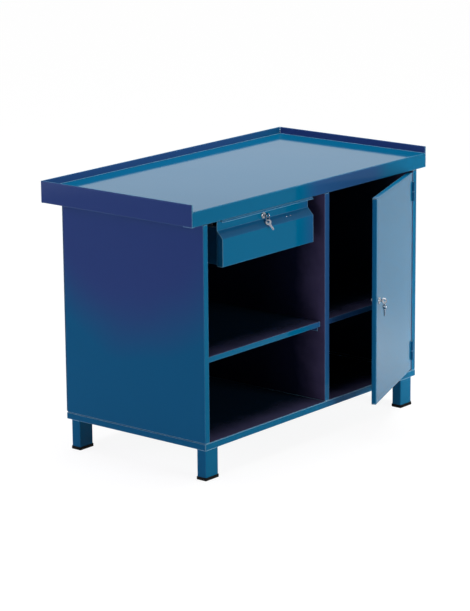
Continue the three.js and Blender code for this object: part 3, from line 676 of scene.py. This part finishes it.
def photo_camera():
    """A camera at the photograph's viewing angle."""
    lens = bpy.data.cameras.new("photo_camera")
    lens.lens = LENS
    lens.sensor_width = SENSOR_WIDTH
    lens.clip_end = CLIP_END
    camera = bpy.data.objects.new("photo_camera", lens)
    camera.rotation_euler = (
        Matrix.Rotation(math.radians(-CAMERA_YAW), 3, "Z")
        @ Matrix.Rotation(math.radians(90 + CAMERA_PITCH), 3, "X")
        @ Matrix.Rotation(math.radians(CAMERA_ROLL), 3, "Z")
    ).to_euler()
    camera.location = CAMERA_PLACE
    bpy.context.scene.collection.objects.link(camera)
    bpy.context.scene.camera = camera


def corners(name):
    """The lowest and highest corner of a node's box at rest, in millimetres."""
    return [Vector(corner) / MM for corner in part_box(name)]


def joint(name):
    """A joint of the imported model."""
    return next(j for j in frame["joints"] if j["name"] == name)


def finished(shape, name, body, slot, place, finish=None):
    """Puts a bmesh in its place as a piece that rides on a body, in its slot's finish or another."""
    bmesh.ops.transform(shape, matrix=place, verts=shape.verts)
    mesh = bpy.data.meshes.new(name)
    shape.to_mesh(mesh)
    shape.free()
    mesh.materials.append(FINISH[finish or slot])
    mesh.shade_smooth()
    mesh.set_sharp_from_angle(angle=math.radians(SMOOTH_ANGLE))
    piece = bpy.data.objects.new(name, mesh)
    bpy.context.scene.collection.objects.link(piece)
    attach(piece, body)
    return piece


def spun(profile, steps, closed=False):
    """Spins a profile of radius and height about the Z axis."""
    shape = bmesh.new()
    points = [shape.verts.new((radius, 0, height)) for radius, height in profile]
    ends = points[1:] + points[:1] if closed else points[1:]
    lines = [shape.edges.new(pair) for pair in zip(points, ends)]
    bmesh.ops.spin(
        shape, geom=points + lines, axis=UP, cent=(0, 0, 0), angle=2 * math.pi, steps=steps, use_merge=True,
    )
    bmesh.ops.remove_doubles(shape, verts=shape.verts, dist=MERGE_GAP)
    bmesh.ops.recalc_face_normals(shape, faces=shape.faces)
    return shape


def dome(radius, height, steps):
    """A quarter of an ellipse from the axis out to the rim, as radius and height."""
    turns = [math.radians(90 * i / steps) for i in range(steps + 1)]
    return [(radius * math.sin(turn), height * math.cos(turn)) for turn in turns]


def rounded(shape, width):
    """Breaks the sharp edges of a shape."""
    sharp = [
        edge for edge in shape.edges
        if edge.is_manifold and edge.calc_face_angle() > math.radians(SHARP_ANGLE)
    ]
    bmesh.ops.bevel(
        shape, geom=sharp, offset=width, affect="EDGES", segments=2, profile=0.5, material=-1,
        clamp_overlap=True,
    )


def gathered(unit, places):
    """Copies one small shape to many places in a single bmesh."""
    pattern = bpy.data.meshes.new("pattern")
    unit.to_mesh(pattern)
    unit.free()
    shape = bmesh.new()
    for place in places:
        before = len(shape.verts)
        shape.from_mesh(pattern)
        bmesh.ops.transform(shape, matrix=place, verts=shape.verts[before:])
    bpy.data.meshes.remove(pattern)
    return shape


def turned(place, outward):
    """A place whose Z points outward."""
    return Matrix.Translation(place) @ outward.to_track_quat("Z", "Y").to_matrix().to_4x4()


def along(start, end, pitch, outward):
    """Places at an even pitch from start to end, each turned outward."""
    start, end = Vector(start), Vector(end)
    gaps = max(1, round((end - start).length / pitch))
    return [turned(start.lerp(end, i / gaps), outward) for i in range(gaps + 1)]


def lock_place(name):
    """The frame of the door's or the drawer's lock, from its joint."""
    turning = joint(f"{name}_lock_turn")
    out = -Vector(turning["axis"])
    right = UP.cross(out)
    place = Matrix((right, UP, out)).transposed().to_4x4()
    place.translation = turning["pos_m"]
    return place @ TO_METRES


def lock_shell():
    """A lock's collar and threaded barrel round the bore for the plug."""
    bore = PLUG_RADIUS + PLUG_GAP
    face = [(bore, COLLAR_HEIGHT - BORE_BREAK), (bore + BORE_BREAK, COLLAR_HEIGHT)]
    face += [(radius, COLLAR_HEIGHT - depth) for radius, depth in COLLAR_GROOVE + COLLAR_CROWN]
    face += [(COLLAR_RADIUS, COLLAR_SEAT), (LOCK_BARREL, COLLAR_SEAT), (LOCK_BARREL, -THREAD_START)]
    turns = int((LOCK_DEPTH - THREAD_FREE) / THREAD_PITCH)
    for i in range(turns):
        top = -THREAD_START - i * THREAD_PITCH
        face += [(LOCK_BARREL - THREAD_DEPTH, top - THREAD_PITCH / 2), (LOCK_BARREL, top - THREAD_PITCH)]
    face += [(LOCK_BARREL - THREAD_DEPTH, -LOCK_DEPTH), (bore, -LOCK_DEPTH)]
    return spun(face, steps=48, closed=True)


def cam_screw():
    """The screw and washer that hold the cam on the plug's square."""
    rim = WASHER_RADIUS - WASHER_BREAK
    washer = [
        (0, 0),
        (rim, 0),
        (WASHER_RADIUS, -WASHER_BREAK),
        (WASHER_RADIUS, WASHER_BREAK - WASHER_THICKNESS),
        (rim, -WASHER_THICKNESS),
        (0, -WASHER_THICKNESS),
    ]
    shape = spun(washer, steps=32)
    middle = SCREW_HEAD_SINK - WASHER_THICKNESS - SCREW_HEAD_HEIGHT / 2
    head = bmesh.ops.create_cone(
        shape, cap_ends=True, segments=6, radius1=SCREW_HEAD_OUTER, radius2=SCREW_HEAD_INNER,
        depth=SCREW_HEAD_HEIGHT, matrix=Matrix.Translation((0, 0, middle)),
    )
    bmesh.ops.recalc_face_normals(shape, faces=shape.faces)
    edges = {edge for vert in head["verts"] for edge in vert.link_edges}
    bmesh.ops.bevel(
        shape, geom=list(edges), offset=SCREW_HEAD_BREAK, affect="EDGES", segments=2, profile=0.5,
        material=-1,
    )
    return shape


def plate(shape, thickness):
    """Thickens flat faces about their own plane and breaks the edges."""
    shape.normal_update()
    bmesh.ops.reverse_faces(shape, faces=[face for face in shape.faces if face.normal.z < 0])
    bmesh.ops.solidify(shape, geom=shape.faces[:], thickness=thickness)
    bmesh.ops.recalc_face_normals(shape, faces=shape.faces)
    low = min(vert.co.z for vert in shape.verts)
    bmesh.ops.translate(shape, vec=(0, 0, -low - thickness / 2), verts=shape.verts)
    rounded(shape, KEY_BREAK)
    return shape


def key_bow():
    """A round bow with its ring hole set towards the outer end."""
    shape = bmesh.new()
    bmesh.ops.create_circle(shape, segments=48, radius=KEY_BOW / 2)
    bmesh.ops.create_circle(
        shape, segments=48, radius=KEY_HOLE / 2, matrix=Matrix.Translation((KEY_HOLE_OFFSET, 0, 0)),
    )
    bmesh.ops.bridge_loops(shape, edges=shape.edges[:])
    return plate(shape, KEY_THICKNESS)


def key_blade():
    """A pointed blade along -X with its cuts on the lower edge."""
    tip = -KEY_BOW / 2 - KEY_BLADE
    root = KEY_ROOT - KEY_BOW / 2
    half = KEY_BLADE_HEIGHT / 2
    pitch = (KEY_BLADE - 2 * half) / KEY_CUTS
    edge = [(root, -half), (root, half), (tip + half, half), (tip, 0), (tip + half, -half)]
    for i in range(KEY_CUTS):
        at = tip + half + i * pitch
        edge += [(at + pitch / 2, KEY_CUT_DEPTH - half), (at + pitch, -half)]
    shape = bmesh.new()
    shape.faces.new([shape.verts.new((x, y, 0)) for x, y in edge])
    return plate(shape, KEY_BLADE_THICKNESS)


def flat_key():
    """A key in its own plane: the bow round the origin and the blade along -X."""
    whole = bmesh.new()
    for shape in (key_bow(), key_blade()):
        part = bpy.data.meshes.new("part")
        shape.to_mesh(part)
        shape.free()
        whole.from_mesh(part)
        bpy.data.meshes.remove(part)
    return whole


def split_ring():
    """Two turns of spring wire side by side about the Z axis."""
    shape = bmesh.new()
    bmesh.ops.create_circle(
        shape, segments=10, radius=RING_WIRE / 2,
        matrix=Matrix.Translation((RING_RADIUS, 0, -RING_PITCH)) @ Matrix.Rotation(math.pi / 2, 4, "X"),
    )
    bmesh.ops.spin(
        shape, geom=shape.verts[:] + shape.edges[:], axis=UP, cent=(0, 0, 0),
        dvec=(0, 0, RING_PITCH / RING_STEPS), angle=4 * math.pi, steps=2 * RING_STEPS, use_merge=False,
    )
    bmesh.ops.holes_fill(shape, edges=[e for e in shape.edges if e.is_boundary], sides=0)
    bmesh.ops.recalc_face_normals(shape, faces=shape.faces)
    return shape


def ring_place(name, place):
    """The middle of a packed key ring, in its lock's frame."""
    low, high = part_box(f"{name}_key_ring")
    return Matrix.Translation(place.inverted() @ ((Vector(low) + Vector(high)) / 2))


def spare_place(name, place):
    """Where the spare key hangs on its ring, in its lock's frame."""
    pivot = place.inverted() @ Vector(joint(f"{name}_spare_swing")["pos_m"])
    return (
        Matrix.Translation(pivot)
        @ Matrix.Rotation(math.radians(-SPARE_LEAN[name]), 4, "X")
        @ Matrix.Rotation(math.radians(SPARE_TWIST[name] + 90), 4, "Y")
        @ Matrix.Rotation(math.pi / 2, 4, "Z")
        @ Matrix.Translation((-SPARE_HANG, 0, 0))
    )


def lock_set(name):
    """The finer lock, key, ring and spare key of the door or the drawer."""
    place = lock_place(name)
    core = f"{name}_lock_core"
    shell = finished(lock_shell(), f"{name}_lock_shell", name, "nickel", place)
    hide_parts(f"{name}_lock_body")
    upright = Matrix.Rotation(-math.pi / 2, 4, "Y") @ Matrix.Translation((KEY_REACH, 0, 0))
    key = finished(flat_key(), f"{name}_cut_key", core, "nickel", place @ upright)
    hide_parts(f"{name}_key")
    behind = Matrix.Translation((0, 0, CAM_BACK))
    finished(cam_screw(), f"{name}_cam_screw", core, "zinc_steel", place @ behind)
    looped = place @ ring_place(name, place)
    ring = finished(split_ring(), f"{name}_split_ring", f"{name}_ring", "nickel", looped)
    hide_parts(f"{name}_key_ring")
    hung = place @ spare_place(name, place)
    spare = finished(flat_key(), f"{name}_hanging_key", f"{name}_spare", "nickel", hung)
    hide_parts(f"{name}_spare_key")


def hinge_half(node_name, piece_name, body, crown_up):
    """A turned hinge barrel with a rounded crown, a bore for the pin and a broken edge at the seam."""
    low, high = corners(node_name)
    length = high.z - low.z
    core = BARREL_RADIUS - BARREL_CROWN
    shoulder = length - BARREL_CROWN
    crown = [(core + out, shoulder + up) for out, up in dome(BARREL_CROWN, BARREL_CROWN, steps=6)]
    profile = [
        (0, length),
        *crown,
        (BARREL_RADIUS, BARREL_BREAK),
        (BARREL_RADIUS - BARREL_BREAK, 0),
        (PIN_RADIUS, 0),
        (PIN_RADIUS, length - PIN_WALL),
        (0, length - PIN_WALL),
    ]
    middle = (low + high) / 2
    if crown_up:
        place = Matrix.Translation((middle.x, middle.y, low.z))
    else:
        place = Matrix.Translation((middle.x, middle.y, high.z)) @ Matrix.Rotation(math.pi, 4, "X")
    barrel = spun(profile, steps=40)
    # The barrels take a darker copy of the enamel: painted shade
    piece = finished(barrel, piece_name, body, "blue_paint", TO_METRES @ place, "hinge_shaded_paint")
    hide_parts(node_name)


def spot_weld():
    """A dished ring that the electrode leaves, sunk a little in the sheet."""
    profile = [
        (0, SPOT_DISH),
        (SPOT_DISH_RADIUS, SPOT_DISH),
        (SPOT_CREST_RADIUS, SPOT_CREST),
        (SPOT_RADIUS, 0),
        (SPOT_RADIUS, -SPOT_SINK),
        (0, -SPOT_SINK),
    ]
    return spun(profile, steps=10)


def back_spot_welds():
    """Rows of spots where the back is welded to the rear flanges of the sides and the divider."""
    low, high = corners("back_panel")
    divider = corners("centre_divider")[0].x
    rows = []
    for x in (low.x + SPOT_INSET, divider + SPOT_INSET, high.x - SPOT_INSET):
        start = (x, high.y, low.z + BACK_SPOT_END)
        end = (x, high.y, high.z - BACK_SPOT_END)
        rows += along(start, end, SPOT_PITCH, BACK)
    finished(gathered(spot_weld(), rows), "back_spot_welds", "bench", "blue_paint", TO_METRES)


def door_spot_welds():
    """Rows of spots on the stiffener's flanges, laid out on the shut door and swung open with it."""
    swing = joint("door_swing")
    hinge = Matrix.Translation(Vector(swing["pos_m"]) / MM)
    opened = hinge @ Matrix.Rotation(math.radians(-swing["range_deg"][0]), 4, "Z") @ hinge.inverted()
    shut = [opened.inverted() @ (vert.co / MM) for vert in frame["nodes"]["door_stiffener"].data.vertices]
    low = Vector(map(min, zip(*shut)))
    high = Vector(map(max, zip(*shut)))
    face = low.y + STIFFENER_SHEET
    rows = []
    for x in (low.x + STIFFENER_FLANGE / 2, high.x - STIFFENER_FLANGE / 2):
        start = (x, face, low.z + DOOR_SPOT_END)
        end = (x, face, high.z - DOOR_SPOT_END)
        rows += along(start, end, SPOT_PITCH, BACK)
    finished(gathered(spot_weld(), rows), "door_spot_welds", "door", "blue_paint", TO_METRES @ opened)


def weld_beads(name, radius, places, finish):
    """Rows of ripples, as an arc weld leaves them."""
    ripple = bmesh.new()
    bmesh.ops.create_uvsphere(ripple, u_segments=8, v_segments=5, radius=radius)
    finished(gathered(ripple, places), name, "bench", "blue_paint", TO_METRES, finish)


def leg_weld_beads():
    """Beads under the base rails, along the inner sides of each leg's top."""
    top = corners("base_rail_front")[0].z
    rows = []
    for row in ("front", "back"):
        for column in ("left", "right"):
            low, high = corners(f"leg_{row}_{column}")
            side = high.x if column == "left" else low.x
            inner = high.y if row == "front" else low.y
            front, back = low.y + BEAD_INSET, high.y - BEAD_INSET
            left, right = low.x + BEAD_INSET, high.x - BEAD_INSET
            rows += along((side, front, top), (side, back, top), BEAD_PITCH, BACK)
            rows += along((left, inner, top), (right, inner, top), BEAD_PITCH, RIGHT)
    weld_beads("leg_weld_beads", BEAD_RADIUS, rows, "blue_paint")


def rim_corner_beads():
    """Beads in the two corners where the upstands of the worktop meet, in a pale coat that is a painted
    highlight for their glints.
    """
    low, high = corners("worktop")
    inner = high.y - RIM_WALL
    rows = []
    for x in (low.x + RIM_WALL, high.x - RIM_WALL):
        start = (x, inner, high.z - RIM_HEIGHT)
        end = (x, inner, high.z - CORNER_BEAD_RADIUS)
        rows += along(start, end, CORNER_BEAD_PITCH, UP)
    weld_beads("rim_corner_beads", CORNER_BEAD_RADIUS, rows, "bead_glint_paint")


def notch_beads():
    """Beads that close the notches at the floor where the folds of the sides and the back meet."""
    floor = corners("cabinet_floor")[1]
    rows = []
    for side in ("left", "right"):
        low, high = corners(f"{side}_side_panel")
        start = (low.x + BEAD_INSET, floor.y + NOTCH_RISE, floor.z + NOTCH_RISE)
        end = (high.x - BEAD_INSET, floor.y + NOTCH_RISE, floor.z + NOTCH_RISE)
        rows += along(start, end, BEAD_PITCH, RIGHT)
    weld_beads("notch_beads", BEAD_RADIUS, rows, "blue_paint")


def drawer_rivets():
    """Two domed rivets on the slope of the drawer front, right of the lock."""
    low, high = corners("drawer_front")
    foot = [(RIVET_RADIUS, -RIVET_SINK), (0, -RIVET_SINK)]
    rivet = spun(dome(RIVET_RADIUS, RIVET_HEIGHT, steps=5) + foot, steps=16)
    outward = Vector((0, -FACE_SLOPE, FACE_SETBACK))
    back = (RIVET_RISE - FACE_RISE) * FACE_SETBACK / FACE_SLOPE
    places = [turned((high.x - x, low.y + back, low.z + RIVET_RISE), outward) for x in RIVET_PLACES]
    finished(gathered(rivet, places), "drawer_front_rivets", "drawer", "nickel", TO_METRES)


def lip_edge():
    """The upturned edge along the drawer's lip, which closes the seam below the worktop."""
    low, high = corners("drawer_front")
    bottom = high.z - LIP_EDGE_SINK
    top = corners("worktop")[0].z - LIP_EDGE_GAP
    size = Vector((high.x - low.x - 2 * LIP_EDGE_INSET, LIP_EDGE_WIDTH, top - bottom))
    shape = bmesh.new()
    bmesh.ops.create_cube(shape, size=1)
    bmesh.ops.scale(shape, vec=size, verts=shape.verts)
    rounded(shape, LIP_EDGE_BREAK)
    place = Matrix.Translation(((low.x + high.x) / 2, low.y + LIP_EDGE_SETBACK, (bottom + top) / 2))
    finished(shape, "drawer_lip_edge", "drawer", "blue_paint", TO_METRES @ place)


def foot_outline(half):
    """The leg's outline with rounded corners, as one flat face."""
    shape = bmesh.new()
    bmesh.ops.create_grid(shape, x_segments=1, y_segments=1, size=1)
    bmesh.ops.scale(shape, vec=(half.x, half.y, 1), verts=shape.verts)
    bmesh.ops.bevel(
        shape, geom=shape.verts[:], offset=FOOT_CORNER, affect="VERTICES", segments=4, profile=0.5,
        material=-1,
    )
    return shape


def moulded_foot(row, column):
    """A plastic cap: a sole with a broken edge, a lip round the leg and a hollow plug inside the tube."""
    low, high = corners(f"leg_{row}_{column}")
    half = (high - low) / 2
    shape = foot_outline(half)
    loop = shape.edges[:]
    reach = 0
    height = 0
    for level, past in FOOT_SOLE + FOOT_LIP + FOOT_PLUG:
        made = bmesh.ops.extrude_edge_only(shape, edges=loop)["geom"]
        ring = [item for item in made if isinstance(item, bmesh.types.BMVert)]
        loop = [item for item in made if isinstance(item, bmesh.types.BMEdge) and item.is_boundary]
        grow = Vector(((half.x + past) / (half.x + reach), (half.y + past) / (half.y + reach), 1))
        bmesh.ops.scale(shape, vec=grow, verts=ring)
        bmesh.ops.translate(shape, vec=(0, 0, level - height), verts=ring)
        reach = past
        height = level
    bmesh.ops.holes_fill(shape, edges=loop, sides=0)
    bmesh.ops.recalc_face_normals(shape, faces=shape.faces)
    place = Matrix.Translation(((low.x + high.x) / 2, (low.y + high.y) / 2, 0))
    cap = finished(shape, f"moulded_foot_{row}_{column}", "bench", "black_plastic", TO_METRES @ place)
    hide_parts(f"foot_cap_{row}_{column}")


def packed_finishes():
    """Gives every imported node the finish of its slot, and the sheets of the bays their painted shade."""
    for name, part in frame["nodes"].items():
        for slot in part.material_slots:
            finish = slot.material.name.split(".")[0]
            slot.material = FINISH["inner_shaded_paint" if name in INNER_SHADED_NODES else finish]


photo_camera()
studio_floor()
studio_world()
for name, box in SOFTBOXES.items():
    softbox(name, **box)
bounce_lamp()
bpy.context.scene.view_settings.view_transform = "Standard"

packed_finishes()
for name in ("door", "drawer"):
    lock_set(name)
back_spot_welds()
leg_weld_beads()
rim_corner_beads()
notch_beads()
door_spot_welds()
drawer_rivets()
lip_edge()
for row in ("front", "back"):
    for column in ("left", "right"):
        moulded_foot(row, column)
for hinge in ("hinge_upper", "hinge_lower"):
    hinge_half(f"{hinge}_frame_knuckle", f"{hinge}_frame_barrel", "bench", crown_up=False)
    hinge_half(f"{hinge}_door_knuckle", f"{hinge}_door_barrel", "door", crown_up=True)
